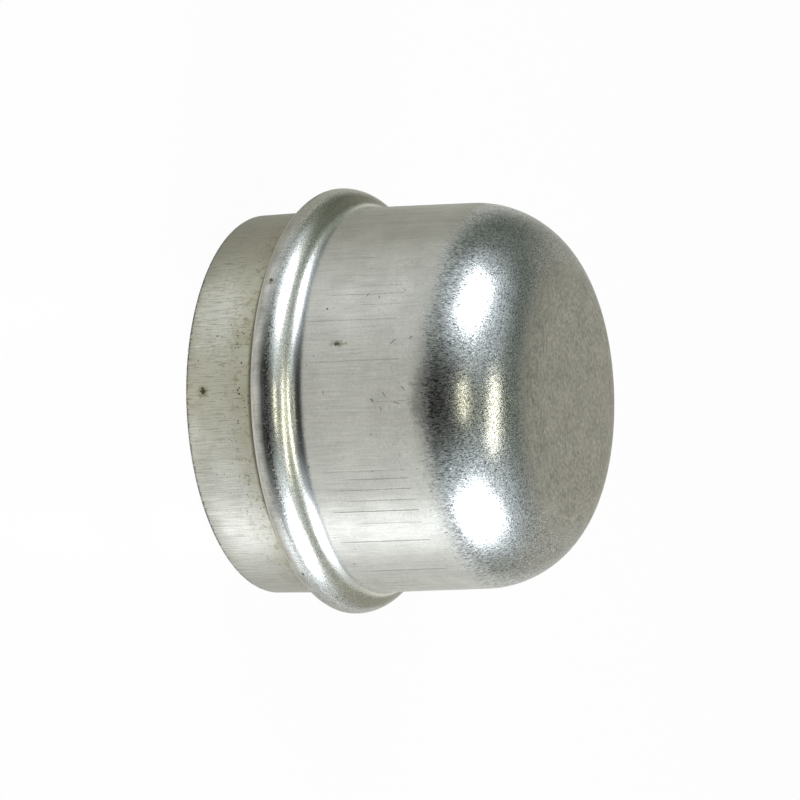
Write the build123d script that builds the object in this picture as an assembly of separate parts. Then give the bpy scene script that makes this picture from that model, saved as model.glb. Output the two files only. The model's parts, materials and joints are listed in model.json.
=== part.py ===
"""Wheel hub grease cap: a cup deep-drawn in one piece from steel sheet, with a rolled bead round it.

The cap stands on its open rim. Z is the hub's axis, the rim lies in the plane Z = 0 and the closed
crown is on top. Sizes are in millimetres and angles in degrees.

Going up from the rim, the wall is a plain skirt that is driven into the hub's bore, a hollow bead that
stops against the hub's end face, a straight wall with a little draft, a wide corner and a crown that is
almost flat. The sheet keeps one thickness all the way, so the bead is a groove on the inside.
"""

import os
from math import acos, asin, cos, degrees, radians, sin

from build123d import *

# Sheet and press fit
sheet_thickness = 1.0
skirt_diameter = 50.3
skirt_length = 8.8
rim_edge_break = 0.2

# Bead: the lower side faces the hub and is the steeper one
bead_diameter = 55.9
lower_crest_radius = 1.8
upper_crest_radius = 3.35
lower_fillet_radius = 1.05
upper_fillet_radius = 2.3

# Cup above the bead
body_diameter = 50.35
wall_length = 13.65
draft_angle = 1.5
corner_radius = 12.95
crown_radius = 250.0

# Slope of the bead's two flanks where its crest turns into a fillet, measured from the axis
skirt_radius = skirt_diameter / 2
bead_radius = bead_diameter / 2
body_radius = body_diameter / 2
draft_cosine = cos(radians(draft_angle))
lower_flank = degrees(acos(1 - (bead_radius - skirt_radius) / (lower_crest_radius + lower_fillet_radius)))
upper_flank = degrees(
    acos(
        (body_radius + upper_fillet_radius * draft_cosine - bead_radius + upper_crest_radius)
        / (upper_crest_radius + upper_fillet_radius)
    )
)

# Half the angle that the crown spans, from the place of the corner's centre
wall_inset = wall_length * sin(radians(draft_angle))
corner_centre_radius = body_radius - wall_inset - corner_radius * draft_cosine
crown_angle = degrees(asin(corner_centre_radius / (crown_radius - corner_radius)))


def skin(depth):
    """Tangent lines and arcs from the rim to the crown, at a depth below the sheet's outer face."""
    skirt = Line((skirt_radius - depth, 0), (skirt_radius - depth, skirt_length))
    lower_fillet = JernArc(skirt @ 1, skirt % 1, lower_fillet_radius + depth, -lower_flank)
    lower_crest = JernArc(lower_fillet @ 1, lower_fillet % 1, lower_crest_radius - depth, lower_flank)
    upper_crest = JernArc(lower_crest @ 1, lower_crest % 1, upper_crest_radius - depth, upper_flank)
    upper_fillet = JernArc(
        upper_crest @ 1, upper_crest % 1, upper_fillet_radius + depth, draft_angle - upper_flank
    )
    wall = PolarLine(upper_fillet @ 1, wall_length, direction=upper_fillet % 1)
    corner = JernArc(wall @ 1, wall % 1, corner_radius - depth, 90 - draft_angle - crown_angle)
    crown = JernArc(corner @ 1, corner % 1, crown_radius - depth, crown_angle)
    return [skirt, lower_fillet, lower_crest, upper_crest, upper_fillet, wall, corner, crown]


def grease_cap():
    """The drawn cup: the sheet's section turned about the hub's axis, with its cut edge broken."""
    outer = skin(0)
    inner = skin(sheet_thickness)
    cut_edge = Line(inner[0] @ 0, outer[0] @ 0)
    apex = Line(outer[-1] @ 1, inner[-1] @ 1)
    section = Plane.XZ * make_face(Curve() + [*outer, apex, *inner, cut_edge])
    cup = revolve(section, axis=Axis.Z)
    rim_edges = cup.edges().filter_by(GeomType.CIRCLE).group_by(Axis.Z)[0]
    return chamfer(rim_edges, rim_edge_break)


cap = grease_cap()
os.makedirs("parts", exist_ok=True)
export_step(cap, "parts/grease_cap.step")

size = cap.bounding_box().size
print(f"grease cap {size.X:.2f} x {size.Y:.2f} x {size.Z:.2f} mm, volume {cap.volume:.0f} mm3")
print(f"bead flanks {lower_flank:.1f} and {upper_flank:.1f} degrees")
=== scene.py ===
"""Wheel hub grease cap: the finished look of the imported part, and the studio that it stands in.

The cap is a cup drawn from steel sheet and zinc plated. It stands on its open rim, with the hub's axis
along Z. Here its section is drawn and spun, the sheet gets its thickness, and the plating gets its marks.
"""

import json
from math import acos, asin, cos, pi, radians, sin, tan

import bpy
from bpy.props import FloatProperty, FloatVectorProperty, IntProperty, PointerProperty
from mathutils import Matrix, Vector


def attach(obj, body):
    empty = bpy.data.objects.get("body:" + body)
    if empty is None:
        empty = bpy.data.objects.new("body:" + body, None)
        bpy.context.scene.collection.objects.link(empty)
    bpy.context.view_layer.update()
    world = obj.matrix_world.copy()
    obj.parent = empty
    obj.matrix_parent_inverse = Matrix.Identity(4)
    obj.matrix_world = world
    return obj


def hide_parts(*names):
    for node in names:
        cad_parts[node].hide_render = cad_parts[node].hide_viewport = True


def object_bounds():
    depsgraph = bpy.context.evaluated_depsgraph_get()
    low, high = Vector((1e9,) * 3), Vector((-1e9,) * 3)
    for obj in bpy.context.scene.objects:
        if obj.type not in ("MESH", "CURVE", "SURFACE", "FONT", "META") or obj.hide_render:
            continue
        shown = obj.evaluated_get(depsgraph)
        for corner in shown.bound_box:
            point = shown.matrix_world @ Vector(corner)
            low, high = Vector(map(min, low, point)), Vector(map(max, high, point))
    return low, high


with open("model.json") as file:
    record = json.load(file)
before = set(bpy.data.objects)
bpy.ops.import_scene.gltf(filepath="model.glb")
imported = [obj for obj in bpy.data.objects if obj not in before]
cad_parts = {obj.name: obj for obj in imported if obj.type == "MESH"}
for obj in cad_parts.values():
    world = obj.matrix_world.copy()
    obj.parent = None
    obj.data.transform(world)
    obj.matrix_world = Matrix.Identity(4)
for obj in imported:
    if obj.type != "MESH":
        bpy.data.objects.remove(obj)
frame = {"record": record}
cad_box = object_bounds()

bl_info = {
    "name": "Hub grease cap",
    "version": (1, 0, 0),
    "blender": (4, 5, 0),
    "location": "3D View > Sidebar > Grease cap",
    "description": "Models a drawn, zinc plated hub grease cap and the studio round it",
    "category": "Object",
}

NODE = "grease_cap"
BODY = "root"
MILLIMETRE = 0.001
CAP_MIDDLE = 25 * MILLIMETRE
WELD_DISTANCE = 0.001 * MILLIMETRE
LEVEL_TOLERANCE = 0.01 * MILLIMETRE
SHARP_ANGLE = radians(35)
MOUNTS = {mount["name"]: mount for mount in frame["record"]["mounts"]}

# The finishes and the camera's sensor are in plain millimetres
WALL_RADIUS = 25.2
MM_PER_DEGREE = WALL_RADIUS * pi / 180
SENSOR_WIDTH = 36


def length(name, description, default):
    """A property for a length, kept in metres."""
    return FloatProperty(name=name, description=description, default=default, unit="LENGTH", precision=5)


def angle(name, description, degrees):
    """A property for an angle, kept in radians."""
    return FloatProperty(name=name, description=description, default=radians(degrees), subtype="ANGLE")


def number(name, description, default):
    """A property for a plain number."""
    return FloatProperty(name=name, description=description, default=default, precision=3)


def colour(name, description, default):
    """A property for a linear colour."""
    return FloatVectorProperty(
        name=name, description=description, default=default, subtype="COLOR", size=3, min=0, max=1
    )


class GreaseCapShape(bpy.types.PropertyGroup):
    """Sizes of the drawn cup."""

    bead_radius: length("Bead radius", "Outside radius of the bead", cad_box[1].x)
    skirt_radius: length(
        "Skirt radius",
        "Outside radius of the skirt that is pressed into the hub",
        MOUNTS["hub_press_fit"]["dims"]["r_mm"] * MILLIMETRE,
    )
    body_radius: length("Body radius", "Outside radius at the foot of the wall", 25.175 * MILLIMETRE)
    sheet: length("Sheet", "Thickness of the steel sheet", 1.0 * MILLIMETRE)
    skirt_length: length("Skirt length", "Straight part below the bead", 8.8 * MILLIMETRE)
    lower_crest: length("Lower crest", "Radius of the bead's side towards the hub", 1.8 * MILLIMETRE)
    upper_crest: length("Upper crest", "Radius of the bead's side towards the crown", 3.35 * MILLIMETRE)
    lower_fillet: length("Lower fillet", "Radius between skirt and bead", 1.05 * MILLIMETRE)
    upper_fillet: length("Upper fillet", "Radius between bead and wall", 2.3 * MILLIMETRE)
    wall_length: length("Wall length", "Straight part above the bead", 13.65 * MILLIMETRE)
    draft: angle("Draft", "Lean of the wall towards the axis", 1.5)
    corner: length("Corner", "Radius between wall and crown", 12.95 * MILLIMETRE)
    crown: length("Crown", "Radius of the nearly flat end", 250 * MILLIMETRE)
    rim_break: length("Rim break", "Width of the broken edges at the rim", 0.2 * MILLIMETRE)
    turns: IntProperty(name="Turns", description="Steps in one turn about the axis", default=288)


class GreaseCapPlating(bpy.types.PropertyGroup):
    """Colours of the zinc plate."""

    wall: colour("Wall", "Zinc on the wall, as the die drew it", (0.655, 0.645, 0.618))
    skirt: colour("Skirt", "Zinc on the skirt", (0.68, 0.672, 0.635))
    bent: colour("Bent", "Zinc where bending burnished it, on bead and corner", (0.55, 0.555, 0.55))
    # The ridge colour is burnished zinc brightened into a painted highlight along the bead's ridge
    ridge: colour("Ridge", "Bright zinc on the ridge of the bead", (0.89, 0.875, 0.835))
    crown: colour("Crown", "Zinc on the nearly flat end", (0.524, 0.508, 0.464))
    inside: colour("Inside", "Zinc in the cup and on the cut rim", (0.45, 0.445, 0.405))
    inside_cloud: colour("Inside clouds", "Duller patches in the cup", (0.38, 0.365, 0.31))


class GreaseCapStudio(bpy.types.PropertyGroup):
    """Camera, floor and lamps."""

    lens: length("Lens", "Focal length on a 36 mm wide sensor", 115.3 * MILLIMETRE)
    distance: length("Distance", "From the camera to the point that it looks at", 0.335)
    elevation: angle("Elevation", "Height of the camera above the floor, as an angle", 23.97)
    roll: angle("Roll", "Turn of the camera about its own line of sight", 87.76)
    aim_height: length("Aim height", "Height on the axis that the camera looks at", 0.01804)
    aim_side: length("Aim side", "How far beside the axis the camera looks", 0.134 * MILLIMETRE)
    floor_colour: colour("Floor", "Colour of the floor", (0.82, 0.79, 0.75))
    key_level: number("Key level", "Brightness of the right softbox", 7.5)
    fill_level: number("Fill level", "Brightness of the left softbox", 5.2)
    lamp_level: number("Lamp level", "Brightness of the warm lamp above the camera", 3.472)
    strip_level: number("Strip level", "Brightness of the warm strip overhead", 5.6)


class Wire:
    """An output socket of a node tree. Arithmetic on wires adds Math nodes to that tree."""

    def __init__(self, tree, socket=None):
        self.tree = tree
        self.socket = socket

    def node(self, kind, settings=None, inputs=None, output=0):
        """Adds a node, makes its settings, then sets its inputs to values or wires."""
        made = self.tree.nodes.new(kind)
        for name, value in (settings or {}).items():
            setattr(made, name, value)
        for name, value in (inputs or {}).items():
            if isinstance(value, Wire):
                self.tree.links.new(value.socket, made.inputs[name])
            else:
                made.inputs[name].default_value = value
        return Wire(self.tree, made.outputs[output])

    def math(self, operation, *values):
        """A Math node on wires and numbers."""
        return self.node("ShaderNodeMath", {"operation": operation}, dict(enumerate(values)))

    def __add__(self, other):
        return self.math("ADD", self, other)

    def __radd__(self, other):
        return self.math("ADD", other, self)

    def __sub__(self, other):
        return self.math("SUBTRACT", self, other)

    def __rsub__(self, other):
        return self.math("SUBTRACT", other, self)

    def __mul__(self, other):
        return self.math("MULTIPLY", self, other)

    def __rmul__(self, other):
        return self.math("MULTIPLY", other, self)

    def __truediv__(self, other):
        return self.math("DIVIDE", self, other)

    def __rtruediv__(self, other):
        return self.math("DIVIDE", other, self)

    def __pow__(self, other):
        return self.math("POWER", self, other)

    def __abs__(self):
        return self.math("ABSOLUTE", self)

    def scale(self, factor):
        """This vector or colour times a factor."""
        return self.node("ShaderNodeVectorMath", {"operation": "SCALE"}, {0: self, "Scale": factor})

    def step(self, low, high):
        """0 below low, 1 above high and smooth between, or the reverse where low is above high."""
        ends = (0, 1) if low < high else (1, 0)
        values = (self, min(low, high), max(low, high), *ends)
        return self.node(
            "ShaderNodeMapRange", {"interpolation_type": "SMOOTHSTEP"}, dict(enumerate(values))
        )

    def mix(self, first, second):
        """A colour between first, where this wire is 0, and second, where it is 1."""
        settings = {"data_type": "RGBA", "clamp_factor": True}
        return self.node("ShaderNodeMix", settings, {0: self, 6: opaque(first), 7: opaque(second)}, 2)


def opaque(tint):
    """A colour of three numbers as the four that a socket takes. A wire stays as it is."""
    return tint if isinstance(tint, Wire) else (*tint, 1)


def new_material(name):
    """An empty node material, with a wire to start from and its output node."""
    material = bpy.data.materials.new(name)
    material.use_nodes = True
    material.node_tree.nodes.clear()
    output = material.node_tree.nodes.new("ShaderNodeOutputMaterial")
    return material, Wire(material.node_tree), output


def link_surface(start, shader, output):
    """Connects a shader to a material's or a world's output."""
    start.tree.links.new(shader.socket, output.inputs["Surface"])


class Place:
    """Where a point of the surface lies, in millimetres and degrees, as wires that the finishes share."""

    def __init__(self, start):
        metres = start.node("ShaderNodeTexCoord", {}, {}, "Object")
        self.point = metres.scale(1 / MILLIMETRE)
        x, y, z = (start.node("ShaderNodeSeparateXYZ", {}, {0: self.point}, axis) for axis in "XYZ")
        self.height = z
        self.radius = x.math("MAXIMUM", (x * x + y * y) ** 0.5, 0.01)
        self.turn = x.math("ARCTAN2", x, 0 - y) * (180 / pi)
        self.across = x / self.radius
        self.along = y / self.radius

    def noise_at(self, vector, scale, detail, roughness):
        """A noise node on a vector, from -0.5 to 0.5."""
        values = {"Vector": vector, "Scale": scale, "Detail": detail, "Roughness": roughness}
        return self.point.node("ShaderNodeTexNoise", {}, values) - 0.5

    def noise(self, scale, detail=2.0, roughness=0.5):
        """Even noise with grains of about 1 / scale mm."""
        return self.noise_at(self.point, scale, detail, roughness)

    def lines(self, scale, stretch, detail=2.0, roughness=0.5):
        """Noise drawn out along the axis, as the die leaves it on a wall."""
        stretched = {0: self.across * WALL_RADIUS, 1: self.along * WALL_RADIUS, 2: self.height / stretch}
        vector = self.point.node("ShaderNodeCombineXYZ", {}, stretched)
        return self.noise_at(vector, scale, detail, roughness)

    def rings(self, scale, stretch, detail=2.0, roughness=0.5):
        """Noise drawn out round the axis, as the punch leaves it on an end face."""
        drawn = WALL_RADIUS / stretch
        stretched = {0: self.across * drawn, 1: self.along * drawn, 2: self.radius}
        vector = self.point.node("ShaderNodeCombineXYZ", {}, stretched)
        return self.noise_at(vector, scale, detail, roughness)

    def hairs(self, turn):
        """Short straight scratches that run one way through space. The turn is in degrees about X, Y, Z."""
        rotation = tuple(radians(degrees) for degrees in turn)
        values = {"Vector": self.point, "Rotation": rotation, "Scale": (1, 1, 0.2)}
        turned = self.point.node("ShaderNodeMapping", {"vector_type": "POINT"}, values)
        return self.noise_at(turned, 6, 0.0, 0.5).step(0.1, 0.2)

    def specks(self, scale, size, share):
        """Small round pits, of up to a size in mm, in a share of the cells of a net."""
        net = {"Vector": self.point, "Scale": scale, "Randomness": 1.0}
        cell = self.point.node("ShaderNodeTexVoronoi", {}, net, "Distance")
        chance = Wire(cell.tree, cell.socket.node.outputs["Color"])
        red, green = (self.point.node("ShaderNodeSeparateColor", {}, {0: chance}, part) for part in (0, 1))
        round_pit = (cell / (green * 0.7 + 0.3)).step(size * scale, size * scale * 0.4)
        return round_pit * red.step(1 - share, 1.01 - share)

    def line(self, turn, low, high, width):
        """A scratch of even width along the axis, between two heights."""
        aside = abs(self.turn - turn) * MM_PER_DEGREE
        ends = self.height.step(low - 1, low + 1.5) * self.height.step(high + 0.1, high - 0.1)
        return aside.step(width * 0.7, width * 0.3) * ends

    def mark(self, turn, height, lean, long, wide, ragged=None):
        """A long or round mark. It leans by an angle from the axis, and tapers at its ends."""
        sideways = (self.turn - turn) * MM_PER_DEGREE
        upwards = self.height - height
        if lean:
            slope, rise = sin(radians(lean)), cos(radians(lean))
            sideways, upwards = sideways * rise - upwards * slope, sideways * slope + upwards * rise
        reach = ((sideways / (wide / 2)) ** 2 + (upwards / (long / 2)) ** 2) ** 0.5
        if ragged:
            reach = reach + ragged * 3
        return reach.step(1.0, 0.4)


def most(masks):
    """The largest of several masks at each point."""
    found = masks[0]
    for mask in masks[1:]:
        found = found.math("MAXIMUM", found, mask)
    return found


# Colours of what lies on the zinc, and of the painted highlights and shade that stand in for what shows in
# it
WARM_FILM = (0.52, 0.503, 0.395)
STREAK = (0.2, 0.17, 0.1)
GILT = (0.45, 0.41, 0.27)
MIRRORED_SHADOW_TINT = (0.3, 0.28, 0.215)
RUSTY_FILM = (0.31, 0.25, 0.155)
OLIVE_FILM = (0.31, 0.28, 0.17)
PAINTED_LIP_HIGHLIGHT = (0.95, 0.95, 0.92)
SEAM_DIRT_AND_SHADE = (0.38, 0.365, 0.27)
GLINT = (0.97, 0.95, 0.87)
DARK_CREASE_AND_EDGE = (0.09, 0.08, 0.06)
RUST_HALO = (0.25, 0.21, 0.12)
RUST = (0.07, 0.05, 0.022)
BARE_SCRATCH = (0.85, 0.85, 0.82)
DIRT = (0.05, 0.045, 0.035)

# Four directions that the corner's fine scratches run in, as turns about X, Y and Z
HAIR_TURNS = [(20, 50, 0), (75, 10, 40), (-40, 80, 15), (10, -65, 70)]

# Marks on the front, by their turn in degrees from the camera's side and their height in mm. Lines give
# both ends, then width and strength. The other marks give lean, length and width.
DARK_LINES = [
    (20.1, 18, 29, 0.1, 0.3),
    (22.6, 20, 29, 0.12, 0.55),
    (25.9, 18.5, 29, 0.12, 0.6),
    (29.4, 20, 29.2, 0.12, 0.55),
    (33, 17.7, 29.2, 0.15, 0.75),
    (37.3, 20.5, 29.1, 0.12, 0.5),
    (44.4, 17.4, 29.2, 0.16, 0.7),
    (59, 18, 29.2, 0.18, 0.6),
    (-44.8, 17.3, 24, 0.12, 0.3),
    (-38.2, 18.8, 22.2, 0.12, 0.25),
    (-34.1, 22.7, 28, 0.12, 0.3),
    (-31.3, 18.3, 28.7, 0.14, 0.35),
    (-27.8, 22.2, 28.3, 0.12, 0.3),
    (-23.2, 15.7, 28.2, 0.12, 0.4),
    (-11.2, 17, 28.9, 0.14, 0.3),
    (0.5, 25.4, 29.9, 0.12, 0.35),
]
PALE_LINES = [
    (15.2, 17.8, 25.3, 0.14, 0.3),
    (19.6, 18, 26, 0.12, 0.3),
    (33.4, 18, 29, 0.1, 0.35),
    (44.9, 18, 29, 0.1, 0.35),
    (58.1, 18, 29.2, 0.2, 0.5),
    (4.8, 12.5, 14.1, 0.2, 0.9),
    (4.8, 15.1, 16.1, 0.16, 0.5),
]
NICKS = [
    (-16.3, 28, -40, 1.4, 0.25),
    (-17.3, 30.3, -50, 0.7, 0.35),
    (-31, 23.8, -60, 0.9, 0.22),
    (-30.2, 25.4, 90, 0.6, 0.22),
    (0, 25.4, 45, 0.8, 0.4),
    (-2.5, 19, 80, 0.8, 0.2),
    (-32.2, 28.6, 45, 0.8, 0.18),
    (20.3, 11.35, 80, 0.6, 0.14),
    (23.1, 11.5, 80, 0.9, 0.14),
    (25.6, 11.7, 80, 0.7, 0.12),
    (34, 12.3, 88, 4.6, 0.12),
    (-1.5, 27, 60, 1.2, 0.2),
    (1, 28.6, 20, 1.5, 0.18),
    (2.5, 26.5, 75, 0.9, 0.2),
    (-3, 29.5, 45, 1, 0.25),
]
RUST_SPOTS = [
    (-4.3, 2.4, 0, 1.0, 1.1),
    (-16.2, 20.7, 0, 1.3, 0.6),
    (-33, 11.75, 0, 0.7, 0.6),
]
PITS = [
    (50.2, 11.75, 0, 0.45, 0.7),
    (-3.2, 7.5, 0, 0.4, 0.3),
    (-12, 7.75, 0, 0.35, 0.35),
    (-20.3, 4.0, 0, 0.35, 0.35),
    (42.3, 16.7, 0, 0.3, 0.3),
    (54.4, 17.4, 0, 0.35, 0.3),
    (-27, 18.7, 0, 0.35, 0.3),
    (18.2, 16.1, 0, 0.3, 0.3),
    (11.4, 15.5, 0, 0.3, 0.3),
]


class Finish:
    """The outside's grain, zones and marks, as wires that its relief, colour and roughness share."""

    def __init__(self, start, zinc):
        place = Place(start)
        self.place = place
        self.zinc = zinc
        self.aside = abs(place.turn)
        self.wander = place.noise(0.3, 2)
        self.ragged = place.noise(2.2, 2, 0.6)
        self.sand = place.noise(5.2, 1)
        self.grit = place.noise(9, 0)
        self.drawn = place.lines(4.5, 18, 2, 0.6)
        self.brushed = place.lines(8, 28, 1, 0.6)
        self.rings = place.rings(2.2, 6, 2, 0.6)
        scratches = [place.hairs(turn) for turn in HAIR_TURNS]
        self.hairs = most(scratches[:2]) - most(scratches[2:])
        self.set_zones()
        self.set_marks()

    def set_zones(self):
        """Masks of the cap's parts, by height in mm, and of its front and a bright patch on the skirt."""
        place, height, sand = self.place, self.place.height, self.sand
        self.skirt = height.step(9.6, 9.0)
        self.flank = height.step(9.6, 10.3) * height.step(12.1, 11.5)
        self.bead = (height + sand * 0.5).step(11.4, 12.0) * (height + sand * 0.6).step(16.3, 15.6)
        self.ridge = (height + sand + self.grit * 1.2).step(12.5, 12.95) * height.step(15.3, 14.9)
        crown_edge = place.radius - place.across * 0.8 + self.wander * 3 + sand * 4
        self.crown = crown_edge.step(18.4, 15.2) * height.step(35, 36)
        corner_foot = height + place.across * 0.8 + self.wander * 3 + self.ragged * 4 + sand * 4
        self.bent = corner_foot.step(31.3, 33.2) * (1 - self.crown)
        self.burnished = most([self.bead, self.bent])
        self.plain = 1 - most([self.skirt, self.burnished, self.crown])
        self.front = abs(place.turn - 2).step(36, 10)
        self.silver = place.mark(-27, 3.6, 0, 8, 14, self.ragged * 0.6)

    def set_marks(self):
        """Masks of the pits, the rust spots and the scratches."""
        place, height, ragged = self.place, self.place.height, self.ragged
        crowded = (height + self.wander * 8).step(2, 8)
        pits = [place.specks(2, 0.16, 0.7) * self.skirt * crowded, place.specks(0.9, 0.13, 0.4)]
        self.pits = most(pits + [place.mark(*pit, ragged * 0.5) for pit in PITS])
        self.rust = most([place.mark(*spot, ragged) for spot in RUST_SPOTS])
        halos = [(*spot[:3], spot[3] * 2.2, spot[4] * 2) for spot in RUST_SPOTS]
        self.halo = most([place.mark(*halo, ragged * 0.6) for halo in halos])
        self.pale_lines = most([place.line(*line[:4]) * line[4] for line in PALE_LINES])
        dark_lines = most([place.line(*line[:4]) * line[4] for line in DARK_LINES])
        far_lines = place.lines(3, 90, 0).step(0.19, 0.25) * self.aside.step(62, 72)
        far_lines = far_lines * height.step(17, 18.5) * (height + self.wander * 3).step(29.2, 28.8)
        nicks = most([place.mark(*nick) for nick in NICKS])
        self.dark = most(
            [self.pits * 0.85, dark_lines * (0.75 + ragged), far_lines * 0.4, nicks * 0.55]
        )

    def relief(self):
        """Height of the grain above the plain surface, in mm."""
        bead = self.bead * self.grit * (0.006 - self.front * 0.003)
        bent = self.bent * (self.grit * 0.002 + self.hairs * 0.001)
        plain = self.plain * (self.drawn * 0.004 + self.sand * 0.006)
        skirt = self.skirt * self.brushed * 0.006
        crown = self.crown * (self.rings * 0.012 + self.sand * 0.01)
        return bead + bent + plain + skirt + crown - self.pits * 0.02

    def shade(self):
        """By what share the plating is lighter or darker than its zone's colour. Part of it is painted shade
        on the bead and at the front of the corner.
        """
        place, height = self.place, self.place.height
        far_end = place.turn.step(54, 70)
        # Painted shade: the front of the bead's lower flank darkens towards the crest
        crest = self.front * height.step(11.1, 11.9)
        below, above = height.step(11.5, 12.1) * height.step(14, 13), height.step(14, 15)
        # Painted shade: on the front, the bead's dark bands below and above the ridge are darkened,
        # deepening their dark reflection
        dark_band_shade = (1 - self.ridge) * self.front * (below * 0.8 + above * 0.42)
        grain = (self.sand + self.grit) * (self.ridge * 1.1 + (1 - self.front) * 0.7)
        mottle = (place.lines(0.9, 20, 1) + self.ragged) * self.aside.step(40, 70)
        smudge = (self.ragged + self.drawn).step(0.1, 0.25) * (height + self.wander * 6).step(22, 29)
        # Painted shade: a dark patch on the front of the corner deepens its reflection of the dark room
        corner_dark_reflection = place.mark(0.5, 32.3, 0, 5, 11, self.ragged * 0.4)
        shade = self.skirt * (self.brushed * 0.85 + self.silver * 0.06 - far_end * 0.2)
        # Painted shade: the bead's lower flank, facing the skirt, is darker all round, and more so towards
        # the crest on the front
        shade = shade + self.flank * (self.rings * 0.9 - 0.2 - crest * 0.4)
        shade = shade + self.bead * (grain - dark_band_shade)
        shade = shade + self.plain * (self.drawn * 0.5 + mottle * 0.4 - smudge * 0.18)
        shade = shade + self.bent * (self.sand * 0.85 + self.hairs * 0.55) - corner_dark_reflection * 0.4
        shade = shade + self.crown * (self.rings * 0.8 + self.ragged * 1.1)
        return shade + self.sand * 0.35 + self.wander * 0.35

    def plating(self):
        """Colour of the clean zinc, with a painted highlight on the bead's ridge and the painted shade that
        shade() gives.
        """
        tint = self.skirt.mix(self.zinc.wall, self.zinc.skirt)
        tint = self.burnished.mix(tint, self.zinc.bent)
        # Painted highlight: the bead's ridge takes the much brighter ridge colour, fading out beyond 52
        # degrees from the front
        tint = (self.ridge * self.aside.step(80, 52)).mix(tint, self.zinc.ridge)
        tint = self.crown.mix(tint, self.zinc.crown)
        return tint.scale(self.shade() + 1)

    def colour(self):
        """Colour of the zinc with its films, dirt and scratches, and its painted highlights and shade, each
        over those before it.
        """
        place, height, skirt = self.place, self.place.height, self.skirt
        film = (place.turn + self.wander * 30).step(24, -6) * skirt
        streaks = place.lines(9, 18, 2).step(0.05, 0.2) * skirt * (film * 0.65 + 0.35)
        gilt = place.turn.step(-38, -60) * self.bead
        # Painted shade: wall and skirt are darker and browner on the fill softbox's side, standing in for
        # the cap's shadow on the floor that they mirror
        mirrored_shadow = (place.turn + self.wander * 8).step(-26, -68) * place.turn.step(-125, -95)
        rusty = (self.ragged + place.noise(0.7, 1)).step(0.05, 0.25) * height.step(4.5, 8) * skirt
        olive = (self.wander * 1.2 + height * 0.11 + self.brushed * 0.6).step(0.55, 1.25) * skirt
        # Painted highlight: a pale line low on the bead's lower flank
        lip_highlight = height.step(9.9, 10.05) * height.step(10.8, 10.35)
        # Partly olive dirt, partly painted shade: the dark gap between the bead's two highlights, above its
        # ridge
        seam_dirt_and_shade = (height + self.grit * 0.6).step(13.5, 14.1) * height.step(15, 14.6)
        glint = (height + self.grit * 0.5).step(14.85, 15.1) * height.step(15.7, 15.4)
        # Painted shade with some dirt in the crease under the bead; the rim's edge is darkened too
        crease_shade_and_dirt = height.step(8.5, 9.0) * height.step(9.9, 9.6)
        rim_edge = (height + self.ragged * 0.9 + self.brushed * 0.4).step(0.36, 0.14)
        layers = [
            (film * (0.6 - self.silver * 0.35), WARM_FILM),
            (streaks * 0.6, STREAK),
            (gilt * 0.35, GILT),
            (mirrored_shadow * (skirt + self.plain) * 0.5, MIRRORED_SHADOW_TINT),
            (rusty * 0.55, RUSTY_FILM),
            (olive * 0.6, OLIVE_FILM),
            (lip_highlight * 0.9, PAINTED_LIP_HIGHLIGHT),
            (seam_dirt_and_shade * (0.5 - self.front * 0.15), SEAM_DIRT_AND_SHADE),
            (glint * self.aside.step(45, 62) * 0.9, GLINT),
            (most([crease_shade_and_dirt * 0.8, rim_edge * 0.75]), DARK_CREASE_AND_EDGE),
            (self.halo * 0.45, RUST_HALO),
            (self.rust * 0.85, RUST),
            (self.pale_lines, BARE_SCRATCH),
            (self.dark, DIRT),
        ]
        tint = self.plating()
        for share, layer in layers:
            tint = share.mix(tint, layer)
        return tint

    def roughness(self):
        """Satin on the walls, smoother where the sheet was bent, and rougher on the crown and on dirt."""
        rough = 0.35 - self.bent * 0.1 - self.bead * 0.08 + self.crown * 0.1
        return rough - self.sand * 0.15 + self.dark * 0.15 + self.rust * 0.25


def link_metal(start, output, tint, rough, relief):
    """Connects a metal with a grain, whose relief is in mm, to a material's output."""
    normal = start.node(
        "ShaderNodeBump", {}, {"Strength": 1.0, "Distance": MILLIMETRE, "Height": relief}
    )
    values = {"Base Color": tint, "Metallic": 1.0, "Roughness": rough, "Normal": normal}
    link_surface(start, start.node("ShaderNodeBsdfPrincipled", {}, values), output)


def zinc_outside(zinc):
    """Zinc plate on the outside: satin where the die drew it, burnished where it was bent."""
    material, start, output = new_material("zinc_plate_outside")
    finish = Finish(start, zinc)
    link_metal(start, output, finish.colour(), finish.roughness(), finish.relief())
    return material


def zinc_inside(zinc):
    """Zinc plate on the inside of the cup and on the cut rim."""
    material, start, output = new_material("zinc_plate_inside")
    place = Place(start)
    drawn = place.lines(3, 14, 2, 0.6)
    sand = place.noise(4, 1)
    cloud = place.noise(0.25, 2)
    tint = cloud.step(-0.15, 0.2).mix(zinc.inside, zinc.inside_cloud)
    tint = tint.scale(drawn * 0.9 + sand * 0.5 + 1)
    link_metal(start, output, tint, 0.45 + sand * 0.1, drawn * 0.008 + sand * 0.012)
    return material


def start_vertex(name):
    """A new object at the origin, in edit mode, with one selected vertex."""
    bpy.ops.object.select_all(action="DESELECT")
    bpy.ops.mesh.primitive_plane_add(size=0.01, location=(0, 0, 0))
    piece = bpy.context.object
    piece.name = name
    piece.data.name = name
    bpy.ops.object.mode_set(mode="EDIT")
    bpy.ops.mesh.select_all(action="SELECT")
    bpy.ops.mesh.merge(type="CENTER")
    return piece


def draw_line(move, steps):
    """Extrudes the selected vertex along a straight line, in equal steps."""
    for _ in range(steps):
        bpy.ops.mesh.extrude_region_move(TRANSFORM_OT_translate={"value": move / steps})


def draw_arc(centre, turn, steps):
    """Spins the selected vertex about a centre in the plane of X and Z. A positive turn is anticlockwise."""
    bpy.ops.mesh.spin(steps=steps, angle=turn, center=centre, axis=(0, 1, 0))


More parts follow.
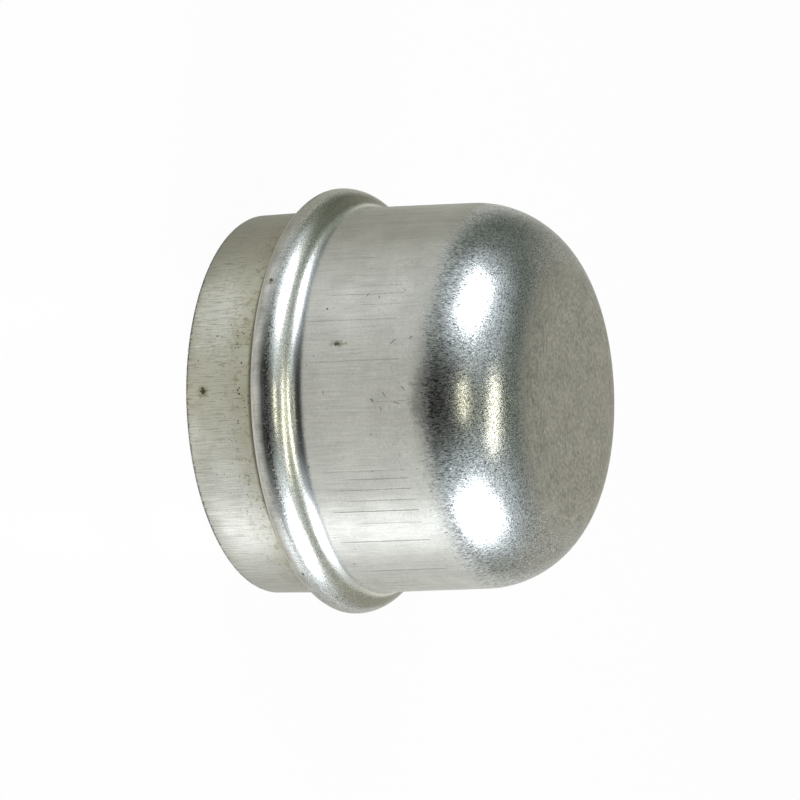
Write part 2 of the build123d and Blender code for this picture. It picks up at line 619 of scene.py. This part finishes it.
def draw_section(shape):
    """Draws the sheet's outer face from the rim to the axis, as tangent lines and arcs."""
    lower_flank = acos(
        1 - (shape.bead_radius - shape.skirt_radius) / (shape.lower_crest + shape.lower_fillet)
    )
    lean = cos(shape.draft)
    upper_flank = acos(
        (shape.body_radius + shape.upper_fillet * lean - shape.bead_radius + shape.upper_crest)
        / (shape.upper_crest + shape.upper_fillet)
    )
    crest_height = shape.skirt_length + (shape.lower_fillet + shape.lower_crest) * sin(lower_flank)
    foot_height = crest_height + (shape.upper_crest + shape.upper_fillet) * sin(upper_flank)
    foot_centre = shape.body_radius + shape.upper_fillet * lean
    wall = Vector((-sin(shape.draft), 0, lean)) * shape.wall_length
    corner_radius = shape.body_radius + wall.x - shape.corner * lean
    corner_height = foot_height - shape.upper_fillet * sin(shape.draft) + wall.z
    corner_height -= shape.corner * sin(shape.draft)
    crown_angle = asin(corner_radius / (shape.crown - shape.corner))
    crown_height = corner_height - (shape.crown - shape.corner) * cos(crown_angle)
    bpy.ops.transform.translate(value=(shape.skirt_radius, 0, 0))
    draw_line(Vector((0, 0, shape.skirt_length)), steps=4)
    draw_arc((shape.skirt_radius + shape.lower_fillet, 0, shape.skirt_length), -lower_flank, steps=8)
    draw_arc((shape.bead_radius - shape.lower_crest, 0, crest_height), lower_flank, steps=12)
    draw_arc((shape.bead_radius - shape.upper_crest, 0, crest_height), upper_flank, steps=12)
    draw_arc((foot_centre, 0, foot_height), shape.draft - upper_flank, steps=8)
    draw_line(wall, steps=6)
    draw_arc((corner_radius, 0, corner_height), pi / 2 - shape.draft - crown_angle, steps=48)
    draw_arc((0, 0, crown_height), crown_angle, steps=8)


def spin_section(turns):
    """Spins the drawn section about the axis into a closed skin whose faces point outwards."""
    bpy.ops.mesh.select_all(action="SELECT")
    bpy.ops.mesh.spin(steps=turns, angle=2 * pi, center=(0, 0, 0), axis=(0, 0, 1))
    bpy.ops.mesh.select_all(action="SELECT")
    bpy.ops.mesh.remove_doubles(threshold=WELD_DISTANCE)
    bpy.ops.mesh.normals_make_consistent(inside=False)
    bpy.ops.object.mode_set(mode="OBJECT")


def thicken(piece, sheet):
    """Gives the skin the sheet's thickness, inwards. The new faces take the second material."""
    solidify = piece.modifiers.new("sheet", "SOLIDIFY")
    solidify.thickness = sheet
    solidify.offset = -1
    solidify.use_even_offset = True
    solidify.material_offset = 1
    solidify.material_offset_rim = 1
    bpy.ops.object.modifier_apply(modifier=solidify.name)


def break_rim(piece, width):
    """Bevels the two edges of the cut rim."""
    mesh = piece.data
    level = [abs(vertex.co.z) < LEVEL_TOLERANCE for vertex in mesh.vertices]
    for polygon in mesh.polygons:
        polygon.select = False
    for vertex in mesh.vertices:
        vertex.select = False
    radius = [vertex.co.xy.length for vertex in mesh.vertices]
    for edge in mesh.edges:
        first, second = edge.vertices
        edge.select = level[first] and level[second] and abs(radius[first] - radius[second]) < width
    bpy.ops.object.mode_set(mode="EDIT")
    bpy.ops.mesh.select_mode(type="EDGE")
    bpy.ops.mesh.bevel(offset=width, segments=2, affect="EDGES")
    bpy.ops.object.mode_set(mode="OBJECT")


class GREASE_CAP_OT_model_cap(bpy.types.Operator):
    """Model the drawn cup with its bead, and give it its zinc plate"""

    bl_idname = "grease_cap.model_cap"
    bl_label = "Model the cap"

    def execute(self, context):
        shape, zinc = context.scene.grease_cap_shape, context.scene.grease_cap_plating
        cap = start_vertex("drawn_cap")
        draw_section(shape)
        spin_section(shape.turns)
        cap.data.materials.append(zinc_outside(zinc))
        cap.data.materials.append(zinc_inside(zinc))
        thicken(cap, shape.sheet)
        break_rim(cap, shape.rim_break)
        bpy.ops.object.shade_smooth_by_angle(angle=SHARP_ANGLE)
        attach(cap, BODY)
        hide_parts(NODE)
        return {"FINISHED"}


# Sizes of the studio in metres, and the share of plain white that each kind of ray finds in it
FLOOR_SIZE = 8
FLOOR_GAP = 0.05 * MILLIMETRE
SIDE_DISTANCE = 0.5
TOP_DISTANCE = 0.9
FLOOR_SEEN = 0.96
FLOOR_MIRRORED = 0.05
ROOM_MIRRORED = 0.02

# Colours of the lamps, and the room's colour with what glows or is dark in it. Each part of the room gives
# its azimuth and elevation, its outer and inner angle, its strength and its colour.
COOL_LIGHT = (0.92, 0.96, 1.0)
WARM_LIGHT = (1.0, 0.97, 0.74)
CREAM_LIGHT = (1.0, 0.98, 0.82)
ROOM = (0.145, 0.172, 0.142)
ROOM_PARTS = [
    (165, 16, 60, 10, 1.0, (0.5, 0.49, 0.43)),
    (78, 27, 52, 18, 1.0, (0.62, 0.69, 0.72)),
    (-67, 38, 46, 18, 1.0, (0.62, 0.69, 0.72)),
    (2, 10, 38, 12, 0.95, (0.015, 0.015, 0.015)),
]


def light_path(start):
    """Three wires that tell what kind of ray meets the floor or the room: seen, mirrored or let through."""
    kinds = ("Is Camera Ray", "Is Glossy Ray", "Is Transmission Ray")
    return [start.node("ShaderNodeLightPath", {}, {}, kind) for kind in kinds]


def floor_material(tint):
    """Pale, slightly glossy floor. The camera sees it as white with a faint shadow."""
    material, start, output = new_material("studio_floor")
    plain = start.node(
        "ShaderNodeBsdfPrincipled", {}, {"Base Color": (*tint, 1), "Roughness": 0.14, "IOR": 1.5}
    )
    white = start.node("ShaderNodeEmission", {}, {"Color": (1, 1, 1, 1), "Strength": 1.0})
    seen, mirrored, through = light_path(start)
    share = seen * FLOOR_SEEN + (mirrored + through) * FLOOR_MIRRORED
    shader = start.node("ShaderNodeMixShader", {}, {0: share, 1: plain, 2: white})
    link_surface(start, shader, output)
    return material


def add_floor(tint):
    """A wide floor just under the rim."""
    bpy.ops.object.select_all(action="DESELECT")
    bpy.ops.mesh.primitive_plane_add(size=FLOOR_SIZE, location=(0, 0, -FLOOR_GAP))
    floor = bpy.context.object
    floor.name = "floor"
    floor.data.materials.append(floor_material(tint))


def direction(azimuth, elevation):
    """Unit vector from the object: azimuth 0 is the camera's side, and 90 is along X."""
    around, up = radians(azimuth), radians(elevation)
    return Vector((sin(around) * cos(up), -cos(around) * cos(up), sin(up)))


def add_softbox(name, aim, distance, spread, level, tint, roll=0):
    """An area lamp that faces the cap from an azimuth and elevation. The spread is the angles it fills."""
    data = bpy.data.lights.new(name, "AREA")
    data.shape = "RECTANGLE"
    data.size, data.size_y = (2 * distance * tan(radians(degrees / 2)) for degrees in spread)
    data.energy = level * pi * data.size * data.size_y
    data.color = tint
    lamp = bpy.data.objects.new(name, data)
    bpy.context.scene.collection.objects.link(lamp)
    towards = direction(*aim)
    lamp.location = Vector((0, 0, CAP_MIDDLE)) + towards * distance
    turn = towards.to_track_quat("Z", "Y").to_matrix() @ Matrix.Rotation(radians(roll), 3, "Z")
    lamp.rotation_euler = turn.to_euler()
    lamp.visible_camera = False


def add_camera(studio):
    """The camera, at the side of azimuth 0, turned on its side."""
    data = bpy.data.cameras.new("camera")
    data.lens = studio.lens / MILLIMETRE
    data.sensor_width = SENSOR_WIDTH
    data.clip_start = 0.01
    camera = bpy.data.objects.new("camera", data)
    bpy.context.scene.collection.objects.link(camera)
    aim = Vector((studio.aim_side, 0, studio.aim_height))
    away = Vector((0, -cos(studio.elevation), sin(studio.elevation))) * studio.distance
    place = Vector((0, 0, studio.aim_height)) + away
    facing = (place - aim).to_track_quat("Z", "Y").to_matrix().to_4x4()
    camera.matrix_world = Matrix.Translation(place) @ facing @ Matrix.Rotation(studio.roll, 4, "Z")
    bpy.context.scene.camera = camera


def glow(towards, azimuth, elevation, edge, core):
    """1 within an angle of a direction in the room, fading to 0 at a wider one."""
    aim = direction(azimuth, elevation)
    settings = {"operation": "DOT_PRODUCT"}
    facing = towards.node("ShaderNodeVectorMath", settings, {0: towards, 1: aim}, "Value")
    return facing.step(cos(radians(edge)), cos(radians(core)))


def set_world():
    """A dim room round the floor, darkest behind the camera. The camera itself sees white."""
    world = bpy.data.worlds.new("studio_room")
    bpy.context.scene.world = world
    world.use_nodes = True
    world.node_tree.nodes.clear()
    output = world.node_tree.nodes.new("ShaderNodeOutputWorld")
    start = Wire(world.node_tree)
    towards = start.node("ShaderNodeTexCoord", {}, {}, "Generated")
    room = ROOM
    for *part, strength, tint in ROOM_PARTS:
        room = (glow(towards, *part) * strength).mix(room, tint)
    seen, mirrored, through = light_path(start)
    share = seen + through + mirrored * ROOM_MIRRORED
    background = start.node("ShaderNodeBackground", {}, {"Color": share.mix(room, (1, 1, 1))})
    link_surface(start, background, output)


class GREASE_CAP_OT_set_studio(bpy.types.Operator):
    """Set up the floor, the lamps, the room and the camera"""

    bl_idname = "grease_cap.set_studio"
    bl_label = "Set up the studio"

    def execute(self, context):
        studio = context.scene.grease_cap_studio
        add_floor(studio.floor_colour)
        add_softbox("key_softbox", (79, 23), SIDE_DISTANCE, (31, 30), studio.key_level, COOL_LIGHT)
        add_softbox("fill_softbox", (-66, 35), SIDE_DISTANCE, (32, 23), studio.fill_level, COOL_LIGHT)
        add_softbox("warm_lamp", (2, 40), TOP_DISTANCE, (20, 5.5), studio.lamp_level, WARM_LIGHT)
        add_softbox("warm_strip", (28, 71.5), TOP_DISTANCE, (32, 6), studio.strip_level, CREAM_LIGHT, -36)
        set_world()
        add_camera(studio)
        context.scene.view_settings.view_transform = "Standard"
        return {"FINISHED"}


class GREASE_CAP_PT_tools(bpy.types.Panel):
    """Sidebar panel with the cap's sizes and colours and the studio's settings"""

    bl_idname = "GREASE_CAP_PT_tools"
    bl_label = "Hub grease cap"
    bl_space_type = "VIEW_3D"
    bl_region_type = "UI"
    bl_category = "Grease cap"

    def draw(self, context):
        scene = context.scene
        for group in (scene.grease_cap_shape, scene.grease_cap_plating, scene.grease_cap_studio):
            box = self.layout.box()
            for name in group.__annotations__:
                box.prop(group, name)
        self.layout.operator(GREASE_CAP_OT_model_cap.bl_idname)
        self.layout.operator(GREASE_CAP_OT_set_studio.bl_idname)


CLASSES = (
    GreaseCapShape,
    GreaseCapPlating,
    GreaseCapStudio,
    GREASE_CAP_OT_model_cap,
    GREASE_CAP_OT_set_studio,
    GREASE_CAP_PT_tools,
)


def register():
    """Registers the classes and hangs the settings on the scene."""
    for cls in CLASSES:
        bpy.utils.register_class(cls)
    bpy.types.Scene.grease_cap_shape = PointerProperty(type=GreaseCapShape)
    bpy.types.Scene.grease_cap_plating = PointerProperty(type=GreaseCapPlating)
    bpy.types.Scene.grease_cap_studio = PointerProperty(type=GreaseCapStudio)


def unregister():
    """Takes the settings and the classes away again."""
    del bpy.types.Scene.grease_cap_studio
    del bpy.types.Scene.grease_cap_plating
    del bpy.types.Scene.grease_cap_shape
    for cls in reversed(CLASSES):
        bpy.utils.unregister_class(cls)


def main():
    """Makes the cap and its studio."""
    register()
    bpy.ops.grease_cap.model_cap()
    bpy.ops.grease_cap.set_studio()


if __name__ == "__main__":
    main()
